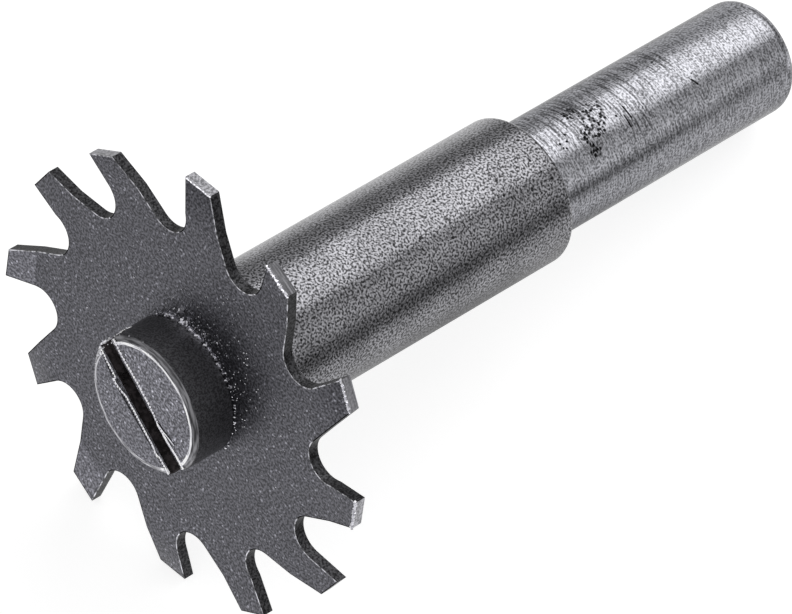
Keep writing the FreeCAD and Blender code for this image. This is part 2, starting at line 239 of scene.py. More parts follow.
arbor = {
    "bodyRadius": 5.1, "bodyFront": -0.75, "bodyRear": -29.45, "noseRounding": 0.1, "bodyRounding": 0.4,
    "shankRadius": 4.0, "shankEnd": -51.65, "shankRounding": 1.1,
    "spigotRadius": 3.485, "spigotFront": -0.2,
    "holeRadius": 2.55, "holeBottom": -14.0, "holePoint": -15.53,
    "centreRadius": 1.6, "centreRounding": 0.05, "coneBottom": -50.264,
    "pilotRadius": 0.8, "pilotBottom": -48.65, "pilotPoint": -48.17,
    "steps": 256,
    # body finish; a tone is where the grain starts and ends, and how dark and bright it gets there
    "bodyGrey": 0.19, "bodyRoughness": 0.24, "bodyRipple": 0.25, "bodyDents": 0.012,
    "bodyTone": (0.31, 0.69, 0.2, 1.8), "cloudSize": 2.6, "cloudTone": (0.3, 0.7, 0.88, 1.12),
    "pores": (0.75, 0.085, 0.03), "poreLevel": 0.15,                 # spacing, size, soft edge
    # shank finish; rings, scratches and streaks are grain pressed together along the axis
    "shankGrey": 0.285, "shankTint": (0.985, 0.99, 1.06), "shankRoughness": 0.22, "shankGrazing": 0.62,
    "shankRipple": 0.25, "rings": (1.1, 1.1, 11.0), "ringShare": 0.5, "shankTone": (0.36, 0.64, 0.4, 1.6),
    "shankRelief": 0.016, "streaks": (0.55, 0.55, 4.0), "rippleRelief": 0.2,
    "ridgeSize": 5.0, "ridgeTone": (0.42, 0.62, 0.25, 1.0),          # where the streaks stand out
    "scratches": (0.3, 0.3, 4.2), "scratchSpan": (0.5, 0.4), "scratchLevel": 0.42,
    "rustSize": 0.5, "rustSpan": (0.36, 0.5), "rustHoles": (0.22, 0.105, 0.03), "holeLevel": 0.05,
    "haze": (0.3, 0.6, 1.0, 0.3), "hazeLevel": 0.4,
    "markEdge": 0.6, "nickEdge": 0.5,      # where a mark starts to fade, as a share of its size
    # painted highlight and painted shade in bands round the shank's axis, where the lamps' reflections fall:
    # angle and tone
    "paintedBands": [(242, 1.0), (252, 0.87), (259, 0.87), (264, 1.6), (271, 1.25), (279, 0.85), (289, 0.87),
               (295, 0.65), (301, 0.93), (307, 1.1), (324, 1.12), (331, 1.5), (336, 1.75), (343, 1.25),
               (351, 1.03), (359, 1.12), (366, 1.0)],
    # marks on the surface: angle round the axis, height along it, size
    "scratched": [(334.7, -31.5, 2.3), (334.7, -34.0, 2.6), (334.7, -36.5, 2.6), (334.7, -39.0, 2.4),
                  (342.5, -42.0, 2.2), (296.6, -37.4, 1.7), (299.7, -33.4, 1.6)],
    "corroded": [(310.9, -34.6, 1.1), (321.1, -35.2, 0.9), (301.7, -34.3, 0.8), (328.3, -33.7, 0.8),
                 (301.7, -33.4, 0.7), (287.5, -33.4, 0.7)],
    "shankPits": [(313.0, -32.14, 0.12), (306.4, -31.89, 0.12), (307.4, -31.33, 0.12), (302.5, -31.36, 0.10),
                  (301.0, -31.55, 0.10), (326.1, -35.94, 0.12), (316.7, -35.71, 0.12), (308.3, -35.47, 0.13),
                  (304.0, -36.26, 0.12), (301.4, -34.46, 0.13), (298.0, -34.85, 0.14), (307.6, -34.27, 0.13),
                  (334.4, -41.68, 0.12), (303.4, -43.22, 0.08), (324.4, -34.55, 0.14), (321.1, -35.06, 0.13),
                  (310.3, -34.65, 0.15), (317.1, -34.58, 0.14)],
    "bodyPits": [(322.5, -28.23, 0.14), (285.7, -26.76, 0.16), (285.7, -28.55, 0.15), (304.4, -27.81, 0.13),
                 (293.1, -28.0, 0.13), (295.6, -17.47, 0.15), (284.5, -19.65, 0.14), (313.8, -20.04, 0.13),
                 (298.0, -19.94, 0.13), (304.2, -24.82, 0.13)],
    # nicks: angle and height at each end, size
    "nicks": [((301.0, -36.81), (288.7, -36.79), 0.08), ((308.7, -37.15), (295.9, -37.2), 0.09),
              ((298.2, -42.93), (291.7, -43.17), 0.09)],
}


def onSurface(radius, degrees, height):
    turn = math.radians(degrees)
    return Vector((radius * math.cos(turn), radius * math.sin(turn), height))


def marksAt(tree, place, radius, marks):
    whole = None
    for degrees, height, size in marks:
        spot = onSurface(radius, degrees, height)
        near = nearSpot(tree, place, spot, size * arbor["markEdge"], size)
        whole = near if whole is None else calc(tree, "MAXIMUM", whole, near)
    return whole


def makeBodyFinish():
    a = arbor
    material, tree, shader = newSteel("bodyBlastedSteel", a["bodyRoughness"])
    place = toolPlace(tree)
    mixed = ripples(tree, unroll(tree, place, a["bodyRadius"]), a["bodyRipple"])
    tone = fade(tree, mixed, *a["bodyTone"])
    tone = calc(tree, "MULTIPLY", tone, fade(tree, grain(tree, place, a["cloudSize"]), *a["cloudTone"]))
    pits = marksAt(tree, place, a["bodyRadius"], a["bodyPits"])
    pits = calc(tree, "MAXIMUM", spots(tree, place, *a["pores"]), pits)
    tone = calc(tree, "MULTIPLY", tone, fade(tree, pits, 0.0, 1.0, 1.0, a["poreLevel"]))
    setGrey(tree, shader, a["bodyGrey"], tone)
    setBump(tree, shader, mixed, a["bodyDents"])
    return material


def makeShankFinish():
    a = arbor
    radius = a["shankRadius"]
    material, tree, shader = newSteel("shankGroundSteel", a["shankRoughness"], a["shankGrazing"])
    place = toolPlace(tree)
    rings = grain(tree, toolPlace(tree, a["rings"]), 1.0, 2.0)
    fine = ripples(tree, unroll(tree, place, radius), a["shankRipple"])
    mixed = calc(tree, "ADD", calc(tree, "MULTIPLY", rings, a["ringShare"]),
                 calc(tree, "MULTIPLY", fine, 1 - a["ringShare"]))
    tone = fade(tree, mixed, *a["shankTone"])
    _, turn, _ = aroundAxis(tree, place)
    # painted highlight and painted shade: tone set by the angle round the axis
    tone = calc(tree, "MULTIPLY", tone, rampRound(tree, turn, a["paintedBands"]))
    scratches = fade(tree, grain(tree, toolPlace(tree, a["scratches"]), 1.0, 1.0), *a["scratchSpan"])
    scratched = calc(tree, "MULTIPLY", marksAt(tree, place, radius, a["scratched"]), scratches)
    tone = calc(tree, "MULTIPLY", tone, fade(tree, scratched, 0.0, 1.0, 1.0, a["scratchLevel"]))
    corroded = calc(tree, "MULTIPLY", marksAt(tree, place, radius, a["corroded"]),
                    fade(tree, grain(tree, place, a["rustSize"], 1.0), *a["rustSpan"]))
    holes = calc(tree, "MULTIPLY", spots(tree, place, *a["rustHoles"]), corroded)
    holes = calc(tree, "MAXIMUM", holes, marksAt(tree, place, radius, a["shankPits"]))
    for start, end, size in a["nicks"]:
        start, end = onSurface(radius, *start), onSurface(radius, *end)
        nick = nearLine(tree, place, start, end, size * a["nickEdge"], size)
        holes = calc(tree, "MAXIMUM", holes, nick)
    tone = calc(tree, "MULTIPLY", tone, fade(tree, holes, 0.0, 1.0, 1.0, a["holeLevel"]))
    hazed = calc(tree, "MULTIPLY", corroded, fade(tree, fine, *a["haze"]))
    tone = calc(tree, "MULTIPLY", tone, fade(tree, hazed, 0.0, 1.0, 1.0, a["hazeLevel"]))
    setGrey(tree, shader, a["shankGrey"], tone, a["shankTint"])
    streaks = grain(tree, toolPlace(tree, a["streaks"]), 1.0, 1.0)
    ridged = fade(tree, grain(tree, place, a["ridgeSize"], 1.0), *a["ridgeTone"])
    height = calc(tree, "ADD", calc(tree, "MULTIPLY", streaks, ridged),
                  calc(tree, "MULTIPLY", mixed, a["rippleRelief"]))
    setBump(tree, shader, height, a["shankRelief"])
    return material


def buildArbor():
    a = arbor
    outline = [
        (0, a["holePoint"]), (a["holeRadius"], a["holeBottom"]), (a["holeRadius"], a["spigotFront"]),
        (a["spigotRadius"], a["spigotFront"]), (a["spigotRadius"], a["bodyFront"]),
        (a["bodyRadius"], a["bodyFront"]), (a["bodyRadius"], a["bodyRear"]),
        (a["shankRadius"], a["bodyRear"]), (a["shankRadius"], a["shankEnd"]),
        (a["centreRadius"], a["shankEnd"]), (a["pilotRadius"], a["coneBottom"]),
        (a["pilotRadius"], a["pilotBottom"]), (0, a["pilotPoint"]),
    ]
    roundings = [
        (a["bodyRadius"], a["bodyFront"], a["noseRounding"]),
        (a["bodyRadius"], a["bodyRear"], a["bodyRounding"]),
        (a["shankRadius"], a["shankEnd"], a["shankRounding"]),
        (a["centreRadius"], a["shankEnd"], a["centreRounding"]),
    ]
    bm = bmesh.new()
    turnOutline(bm, outline, roundings, a["steps"])
    for face in bm.faces:
        face.material_index = 1 if face.calc_center_median().z < a["bodyRear"] - sameHeight else 0
    finishPiece(bm, "arborSteel", [makeBodyFinish(), makeShankFinish()], "arbor", softAngle=30)


# Crumbs of torn metal, on the disc and on the screw; their sides are in shares of their size

crumb = {
    "facing": (0.51, -0.86, 0.02),         # the way their broad side looks, in the world
    "length": (1.2, 2.8), "width": 1.7, "thickness": 1.2, "tilt": 0.3, "crushed": 0.2,
    "rowScatter": (0.7, 1.1), "looseScatter": (0.5, 1.2),            # how their sizes differ
}


def addCrumb(bm, spot, size, finish, direction):
    levelled = (toolTurn.inverted() @ Vector(direction)).to_track_quat("Z", "Y").to_matrix().to_4x4()
    twist = Matrix.Rotation(random.uniform(0, fullTurn), 4, "Z")
    twist = twist @ Matrix.Rotation(random.uniform(0, crumb["tilt"]), 4, "X")
    length = size * random.uniform(*crumb["length"])
    shape = Matrix.Diagonal((length, size * crumb["width"], size * crumb["thickness"], 1))
    made = bmesh.ops.create_cube(bm, size=1, matrix=Matrix.Translation(spot) @ levelled @ twist @ shape)
    crushed = crumb["crushed"]
    for vert in made["verts"]:
        vert.co += Vector([random.uniform(-crushed, crushed) * size for _ in range(3)])
        for face in vert.link_faces:
            face.material_index = finish


# Cutter disc: the imported solid with its edges worn and painted bright or near black by the side they face
# (painted highlight and painted shade), and a finish for each kind of face

disc = {
    "bendRadius": 13.2, "landRadius": 15.0, "teeth": 12, "highlightTeeth": (9, 11),
    # front edges: a narrow rim that drops outwards, painted bright on the side that this angle faces, where the
    # light falls (worn steel and painted highlight), and near black on the other sides (painted shade)
    "rimWidth": 0.07, "rimDrop": 0.014, "litSide": -68.6, "litFrom": 0.12,
    # back edges: a bevel on the sharp ones between two angles, given the bright edge finish: worn steel and
    # painted highlight
    "backWear": 0.02, "backWorn": (-100, -55), "sharpFrom": 35,
    "faceGrey": 0.114, "faceTint": (0.975, 0.97, 1.10), "faceRoughness": 0.42,
    # a lighter grey for the bent tips of two teeth: painted highlight
    "highlightGrey": 0.178, "highlightRoughness": 0.4,
    # the bright edge grey is worn steel with a painted highlight; the near-black rim grey after it is painted
    # shade
    "wallGrey": 0.038, "landGrey": 0.10, "wornLitEdgeGrey": 0.6, "shadedRimGrey": 0.012, "burrGrey": 0.95,
    # face finish: spacing, size and soft edge of two kinds of bright speck
    "faceRipple": 0.27, "rippleSpan": (0.32, 0.68), "faceLevels": (0.52, 1.48), "faceDents": 0.006,
    "specks": (0.5, 0.085, 0.03), "fineSpecks": (0.27, 0.06, 0.04), "fineShare": 0.6,
    "speckLevels": (0.96, 2.5), "cloudSize": 1.6, "cloudTone": (0.3, 0.7, 0.95, 1.05),
    "landRoughness": 0.32, "landStreaks": (0.7, 0.7, 9.0), "landGrain": 0.16, "landLevels": (0.55, 1.35),
    # the lands painted brighter, each to the level the light gives it, over ground steel (painted highlight):
    # grey, and how much of it is in streaks along the edge
    "lands": {1: (0.39, 0.3), 2: (0.3, 0.0), 3: (0.14, 0.8), 4: (0.34, 0.6), 5: (0.4, 0.0)},
    # burr on the front edge of these teeth's lands: size of its beads and how far they stray
    "edgeBurr": {2: (0.055, 0.01), 3: (0.085, 0.02), 4: (0.07, 0.03), 5: (0.075, 0.08)},
    "beadSpacing": 1.1, "beadInset": 0.9,
    # scuffed metal round the head: count, angle, spread of the angle, reach outwards, size
    "crumbs": [(14, 331, 3.5, 0.3, 0.15), (20, 346, 7, 0.15, 0.08), (14, 321, 5, 0.08, 0.11),
               (34, 302, 12, 0.05, 0.09), (16, 240, 14, 0.12, 0.06),
               (50, 305, 24, 0.5, 0.04), (330, 310, 32, 1.8, 0.03)],
    "crumbsFrom": 4.72, "crumbsTo": 10.7, "crumbLift": 0.2,
}
discFinishes = ["face", "highlighted", "wall", "land", "edge", "shadedRim", "crumb"] + [
    f"land{tooth}" for tooth in disc["lands"]]


def makeFlatFace(name, grey, roughness, levels, scuffs=None):
    d = disc
    material, tree, shader = newSteel(name, roughness)
    place = toolPlace(tree)
    coarse = ripples(tree, place, d["faceRipple"])
    tone = fade(tree, coarse, *d["rippleSpan"], *levels)
    if scuffs:                                     # one side of the slot is scuffed brighter
        scuffed = fade(tree, grain(tree, place, scuffs["size"], 1.0), *scuffs["tone"])
        side = fade(tree, alongDirection(tree, place, slotDirections()[1]), *scuffs["reach"])
        brighter = calc(tree, "MULTIPLY", side, calc(tree, "SUBTRACT", scuffed, 1.0))
        tone = calc(tree, "MULTIPLY", tone, calc(tree, "ADD", 1.0, brighter))
    fine = calc(tree, "MULTIPLY", spots(tree, place, *d["fineSpecks"]), d["fineShare"])
    specks = calc(tree, "MAXIMUM", spots(tree, place, *d["specks"]), fine)
    tone = calc(tree, "MULTIPLY", tone, fade(tree, specks, 0.0, 1.0, *d["speckLevels"]))
    clouds = fade(tree, grain(tree, place, d["cloudSize"], 3.0), *d["cloudTone"])
    setGrey(tree, shader, grey, calc(tree, "MULTIPLY", tone, clouds), d["faceTint"])
    setBump(tree, shader, coarse, d["faceDents"])
    return material


def makePlainSteel(name, grey, roughness, low, high, size=0.12, grazing=1.0):
    material, tree, shader = newSteel(name, roughness, grazing)
    patchy = grain(tree, toolPlace(tree), size)
    setGrey(tree, shader, grey, fade(tree, patchy, *patchSpan, low, high))
    setBump(tree, shader, patchy, fineDents)
    return material


def makeLand(name, grey, streaks):
    material, tree, shader = newSteel(name, disc["landRoughness"])
    along = calc(tree, "MULTIPLY", grain(tree, toolPlace(tree, disc["landStreaks"]), 1.0, 1.0), streaks)
    patchy = calc(tree, "MULTIPLY", grain(tree, toolPlace(tree), disc["landGrain"]), 1 - streaks)
    patchy = calc(tree, "ADD", along, patchy)
    setGrey(tree, shader, grey, fade(tree, patchy, *patchSpan, *disc["landLevels"]))
    setBump(tree, shader, patchy, fineDents)
    return material


def toothNumber(point):
    turn = -math.degrees(math.atan2(point.y, point.x)) % 360
    return round(turn * disc["teeth"] / 360) % disc["teeth"] + 1


def discFaceKind(face):
    centre, normal = face.calc_center_median(), face.normal
    radius = math.hypot(centre.x, centre.y)
    tooth = toothNumber(centre)
    if abs(normal.z) > facing:
        # the bent tips of these teeth take a lighter copy of the face steel: painted highlight
        highlighted = normal.z > 0 and radius > disc["bendRadius"] and tooth in disc["highlightTeeth"]
        return "highlighted" if highlighted else "face"
    outwards = (normal.x * centre.x + normal.y * centre.y) / radius
    if radius > disc["landRadius"] and outwards > facing:
        return f"land{tooth}" if tooth in disc["lands"] else "land"
    return "wall"


def wearBackEdges(bm):
    first, last = disc["backWorn"]
    sharp = []
    for edge in bm.edges:
        if len(edge.link_faces) == 2 and edge.calc_face_angle() > math.radians(disc["sharpFrom"]):
            middle = (edge.verts[0].co + edge.verts[1].co) / 2
            behind = min(face.normal.z for face in edge.link_faces) < -facing
            if behind and first < math.degrees(math.atan2(middle.y, middle.x)) < last:
                sharp.append(edge)
    worn = bmesh.ops.bevel(bm, geom=sharp, offset=disc["backWear"], offset_type="OFFSET", segments=1,
                           profile=0.5, affect="EDGES", clamp_overlap=True, material=-1)
    # the bevels get the bright edge finish: worn steel with a painted highlight
    for face in worn["faces"]:
        face.material_index = discFinishes.index("edge")
    bm.normal_update()


def wearFrontEdges(bm):
    front = [face for face in bm.faces if face.normal.z > facing]
    rim = bmesh.ops.inset_region(bm, faces=front, thickness=disc["rimWidth"], use_boundary=True,
                                 use_even_offset=True)["faces"]
    litSide = onSurface(1.0, disc["litSide"], 0.0)
    flat = set(front) | set(rim)
    corners, burr = set(), []
    for face in rim:
        for edge in face.edges:
            for wall in edge.link_faces:
                if wall in flat:
                    continue
                corners.update(edge.verts)
                # rims on walls facing the light side get the bright edge finish (painted highlight), the others
                # the near-black one (painted shade)
                worn = wall.normal.dot(litSide) > disc["litFrom"]
                face.material_index = discFinishes.index("edge" if worn else "shadedRim")
                tooth = toothNumber(wall.calc_center_median())
                if tooth in disc["edgeBurr"] and discFinishes[wall.material_index].startswith("land"):
                    burr.append((tooth, edge.verts[0].co.copy(), edge.verts[1].co.copy()))
    for vert in corners:
        vert.co.z -= disc["rimDrop"]
    for tooth, start, end in burr:
        size, stray = disc["edgeBurr"][tooth]
        beads = max(1, round((end - start).length / (size * disc["beadSpacing"])))
        inwards = -((start + end) / 2).normalized()
        for bead in range(beads + 1):
            inset = size * disc["beadInset"] + random.uniform(-stray, stray)
            spot = start.lerp(end, bead / beads) + inwards * inset
            beadSize = size * random.uniform(*crumb["rowScatter"])
            addCrumb(bm, spot, beadSize, discFinishes.index("crumb"), (0, 0, 1))


def addScuffs(bm):
    random.seed(11)
    for count, middle, spread, outward, size in disc["crumbs"]:
        for _ in range(count):
            degrees = random.gauss(middle, spread)
            radius = disc["crumbsFrom"] + random.expovariate(1 / outward)
            scale = size * random.uniform(*crumb["looseScatter"])
            if radius < disc["crumbsTo"]:
                spot = onSurface(radius, degrees, scale * disc["crumbLift"])
                addCrumb(bm, spot, scale, discFinishes.index("crumb"), crumb["facing"])


def buildDisc():
    d = disc
    bm = bmesh.new()
    bm.from_mesh(frame["nodes"]["cutter_disc"].data)
    bm.transform(toolToWorld.inverted())
    bmesh.ops.remove_doubles(bm, verts=bm.verts, dist=1e-3)
    bmesh.ops.dissolve_limit(bm, angle_limit=math.radians(0.5), verts=bm.verts, edges=bm.edges,
                             use_dissolve_boundaries=False)
    bm.normal_update()
    for face in bm.faces:
        face.material_index = discFinishes.index(discFaceKind(face))
    random.seed(3)
    wearBackEdges(bm)
    wearFrontEdges(bm)
    addScuffs(bm)
    finishes = [
        makeFlatFace("discFaceSteel", d["faceGrey"], d["faceRoughness"], d["faceLevels"]),
        # lighter copy of the face steel for the bent tips: painted highlight
        makeFlatFace("discHighlightSteel", d["highlightGrey"], d["highlightRoughness"], d["faceLevels"]),
        makePlainSteel("gulletWallSteel", d["wallGrey"], roughness=0.5, low=0.4, high=2.0, size=0.14),
        makePlainSteel("toothLandSteel", d["landGrey"], roughness=0.35, low=0.6, high=1.4),
        makePlainSteel("wornLitEdgeSteel", d["wornLitEdgeGrey"], roughness=0.6, low=0.2, high=1.6, size=0.35),
        # near-black rim for the edges turned away from the light: painted shade
        makePlainSteel("shadedRimSteel", d["shadedRimGrey"], roughness=0.5, low=0.3, high=2.5, grazing=0.4),
        makePlainSteel("crumbSteel", d["burrGrey"], roughness=0.28, low=0.9, high=1.05),
    ]
    # each listed land gets its own brighter grey: ground steel and painted highlight
    for tooth, (grey, streaks) in d["lands"].items():
        finishes.append(makeLand(f"toothLandSteel{tooth}", grey, streaks))
    flat = [place for place, kind in enumerate(discFinishes) if kind != "wall"]
    finishPiece(bm, "cutterDisc", finishes, "cutter_disc", softAngle=25, flatFinishes=flat)


# Clamp screw: turned head and stem, with a burred slot

screw = {
    "headRadius": 4.65, "headHeight": 3.2, "headChamfer": 0.3, "footRounding": 0.06,
    "stemRadius": 2.5, "stemEnd": -12.0, "stemChamfer": 0.6, "steps": 192,
    "slotWidth": 1.6, "slotDepth": 1.6, "slotAngle": 17.5, "slotOffset": 0.22,
    # how far each slot edge stands off its straight line, against the distance along the slot
    "slotCuts": 89, "slotRough": 0.018,
    "leftNicks": [(-4.6, -0.04), (-3.2, -0.04), (-3.12, 0.13), (-2.9, 0.13), (-2.5, 0.02), (1.05, 0.02),
                  (1.5, 0.24), (1.95, 0.37), (2.22, 0.33), (2.3, 0.07), (3.3, 0.03), (4.6, -0.04)],
    "rightNicks": [(-4.6, 0.0), (-3.5, 0.02), (-2.8, 0.12), (-1.35, 0.16), (-1.25, 0.08), (-0.9, 0.05),
                   (-0.1, -0.03), (1.7, -0.05), (2.5, 0.01), (3.3, 0.05), (4.0, 0.03), (4.6, -0.02)],
    # a bright lip round both halves of the face, raised along the slot; away from the slot it is the rim
    "lipWidth": 0.19, "lipHeight": 0.015, "lipScatter": (0.2, 1.0),
    "rimBand": 0.2, "slotBand": 0.5, "barrelMargin": 0.02,
    # a curl of burr: its places along the slot and across it
    "curl": [(-1.2, -0.56), (-1.9, -0.70), (-2.45, -0.90), (-2.95, -1.05)],
    "curlLift": 0.03, "curlWidth": 0.09, "curlThickness": 0.03,
    # beads of burr round the slot's upper end: from and to, each across the slot and up, and their size
    "endBurr": [((1.04, 3.05), (1.04, 2.2), 0.08), ((1.04, 1.95), (0.6, 1.6), 0.06),
                ((0.6, 1.6), (0.15, 1.6), 0.05), ((-0.1, 1.6), (-0.58, 1.6), 0.085),
                ((0.8, 3.17), (0.16, 3.15), 0.055)],
    "beadSpacing": 1.3, "beadInset": 0.6,
    "rimScuffs": (45, -50, 75, 0.035), "scuffScatter": (0.5, 1.3),   # count, first and last angle, size
    "faceGrey": 0.175, "faceRoughness": 0.4, "faceLevels": (0.5, 1.5), "barrelGrey": 0.152, "burrGrey": 0.98,
    # the brighter side of the face: size and tone of its patches, and where across the slot it fades in
    "sideScuffs": {"size": 0.24, "tone": (0.45, 0.66, 0.9, 1.5), "reach": (0.2, -1.6)},
    # rings turned into the rim and the broken edge: width, length in radians
    "ringSize": (0.1, 0.3), "ringLevels": (0.35, 1.5), "ringRoughness": 0.4, "ringReach": (-0.4, 1.2),
    # the chamfer is painted brighter across the slot (painted highlight); the rim is darker there
    "rimGrey": 0.95, "rimFarSide": 0.5, "chamferGrey": 0.24, "chamferFarHighlight": 2.0,
    "insideGrey": 0.04, "insideTint": (1.1, 0.92, 0.98), "insideRoughness": 0.7,
    "rustSize": 0.35, "rustLevels": (0.4, 1.7), "rustDents": 0.03,
}
screwFinishes = ["face", "barrel", "slot", "burr", "rim", "chamfer"]


def slotDirections():
    along = onSurface(1.0, screw["slotAngle"], 0.0)
    return along, Vector((-along.y, along.x, 0))


def stepAlong(table, along):
    for (first, low), (second, high) in zip(table, table[1:]):
        if first <= along <= second:
            return low + (high - low) * (along - first) / (second - first)
    return 0.0


def makeWornRing(name, grey, farSide):             # farSide is how bright it is across the slot
    material, tree, shader = newSteel(name, screw["ringRoughness"])
    place = toolPlace(tree)
    radius, turn, _ = aroundAxis(tree, place)
    width, length = screw["ringSize"]
    ringPlace = addNode(tree, "ShaderNodeCombineXYZ", {
        "X": calc(tree, "DIVIDE", radius, width), "Y": calc(tree, "DIVIDE", turn, length),
    }).outputs["Vector"]
    rings = grain(tree, ringPlace, 1.0)
    # grey scaled across the slot by farSide: on the chamfer a painted highlight
    side = alongDirection(tree, place, slotDirections()[1])
    side = fade(tree, side, *screw["ringReach"], 1.0, farSide)
    tone = fade(tree, rings, *patchSpan, *screw["ringLevels"])
    setGrey(tree, shader, grey, calc(tree, "MULTIPLY", tone, side))
    setBump(tree, shader, rings, fineDents)
    return material


def makeSlotInside():
    material, tree, shader = newSteel("slotInsideSteel", screw["insideRoughness"])
    shader.inputs["Metallic"].default_value = 0.0
    rust = grain(tree, toolPlace(tree), screw["rustSize"])
    tone = fade(tree, rust, *patchSpan, *screw["rustLevels"])
    setGrey(tree, shader, screw["insideGrey"], tone, screw["insideTint"])
    setBump(tree, shader, rust, screw["rustDents"])
    return material


def isLevel(item, height):
    return all(abs(vert.co.z - height) < sameHeight for vert in item.verts)


def cutSlot(bm, slotBottom):
    s = screw
    along, across = slotDirections()
    sides = [s["slotOffset"] + s["slotWidth"] / 2, s["slotOffset"] - s["slotWidth"] / 2]
    for side in sides:
        level = [face for face in bm.faces if isLevel(face, slotBottom)]
        rim = {edge for face in level for edge in face.edges}
        corners = {vert for face in level for vert in face.verts}
        bmesh.ops.bisect_plane(bm, geom=level + list(rim) + list(corners), dist=sameHeight,
                               plane_co=across * side, plane_no=across)
    walls = [edge for edge in bm.edges if isLevel(edge, slotBottom)
             and any(all(abs(vert.co.dot(across) - side) < onLine for vert in edge.verts) for side in sides)]
    bmesh.ops.subdivide_edges(bm, edges=walls, cuts=s["slotCuts"])
    for vert in bm.verts:
        onBarrel = vert.co.xy.length > s["headRadius"] - s["barrelMargin"]
        if abs(vert.co.z - slotBottom) > sameHeight or onBarrel:
            continue
        for side, nicks in zip(sides, (s["leftNicks"], s["rightNicks"])):
            if abs(vert.co.dot(across) - side) < onLine:
                rough = random.uniform(-1, 1) * s["slotRough"]
                vert.co += across * (stepAlong(nicks, vert.co.dot(along)) + rough)
                break
    level = [face for face in bm.faces if isLevel(face, slotBottom)]
    level.sort(key=lambda face: face.calc_center_median().dot(across))
    for face in level[1:-1]:
        face.material_index = screwFinishes.index("slot")
    for half in (level[0], level[-1]):
        raised = bmesh.ops.extrude_face_region(bm, geom=[half])["geom"]
        bmesh.ops.translate(bm, verts=only(raised, bmesh.types.BMVert), vec=(0, 0, s["slotDepth"]))
        if half.is_valid:
            bm.faces.remove(half)
    bm.normal_update()


def nameScrewFaces(bm, slotBottom):
    for face in bm.faces:
        height = face.calc_center_median().z
        reach = min(vert.co.xy.length for vert in face.verts)
        if height > screw["headHeight"] - sameHeight:
            face.material_index = screwFinishes.index("face")
        elif height > slotBottom + sameHeight:
            onBarrel = reach > screw["headRadius"] - screw["barrelMargin"]
            face.material_index = screwFinishes.index("barrel" if onBarrel else "slot")


def addLips(bm):
    s = screw
    across = slotDirections()[1]
    halves = [face for face in bm.faces if face.material_index == screwFinishes.index("face")]
    lips = bmesh.ops.inset_region(bm, faces=halves, thickness=s["lipWidth"], use_boundary=True,
                                  use_even_offset=True)["faces"]
    for face in lips:
        reach = min(vert.co.xy.length for vert in face.verts)
        onRim = reach > s["headRadius"] - s["headChamfer"] - s["rimBand"]
        fromSlot = abs(face.calc_center_median().dot(across) - s["slotOffset"]) - s["slotWidth"] / 2
        face.material_index = screwFinishes.index("rim" if onRim and fromSlot >= s["slotBand"] else "burr")
    for vert in bm.verts:
        bySlot = any(face.material_index == screwFinishes.index("slot") for face in vert.link_faces)
        if bySlot and isLevel(vert.link_edges[0], s["headHeight"]):
            vert.co.z += s["lipHeight"] * random.uniform(*s["lipScatter"])


def addCurl(bm):
    s = screw
    along, across = slotDirections()
    lift = Vector((0, 0, s["headHeight"] + s["curlLift"]))
    points = [bm.verts.new(along * reach + across * side + lift) for reach, side in s["curl"]]
    lines = [bm.edges.new(pair) for pair in zip(points, points[1:])]
    strip = bmesh.ops.extrude_edge_only(bm, edges=lines)["geom"]
    bmesh.ops.translate(bm, verts=only(strip, bmesh.types.BMVert), vec=across * -s["curlWidth"])
    faces = only(strip, bmesh.types.BMFace)
    made = bmesh.ops.solidify(bm, geom=faces, thickness=s["curlThickness"])["geom"]
    for face in faces + only(made, bmesh.types.BMFace):
        face.material_index = screwFinishes.index("burr")


def addEndBurr(bm):
    s = screw
    along, across = slotDirections()
    for (first, firstHeight), (second, secondHeight), size in s["endBurr"]:
        length = math.hypot(second - first, secondHeight - firstHeight)
        beads = max(2, round(length / (size * s["beadSpacing"])))
        for bead in range(beads + 1):
            side = first + (second - first) * bead / beads
            height = firstHeight + (secondHeight - firstHeight) * bead / beads
            reach = math.sqrt(s["headRadius"] ** 2 - side ** 2) - size * s["beadInset"]
            spot = along * reach + across * side + Vector((0, 0, height))
            beadSize = size * random.uniform(*crumb["rowScatter"])
            addCrumb(bm, spot, beadSize, screwFinishes.index("burr"), crumb["facing"])


def addRimScuffs(bm):
    s = screw
    count, first, last, size = s["rimScuffs"]
    for _ in range(count):
        degrees = random.uniform(first, last)
        down = random.choice((0.0, 0.0, 1.0)) * s["headChamfer"]     # on the face's rim or the barrel's
        spot = onSurface(s["headRadius"] - s["headChamfer"] + down, degrees, s["headHeight"] - down)
        scuffSize = size * random.uniform(*s["scuffScatter"])
        addCrumb(bm, spot, scuffSize, screwFinishes.index("burr"), crumb["facing"])


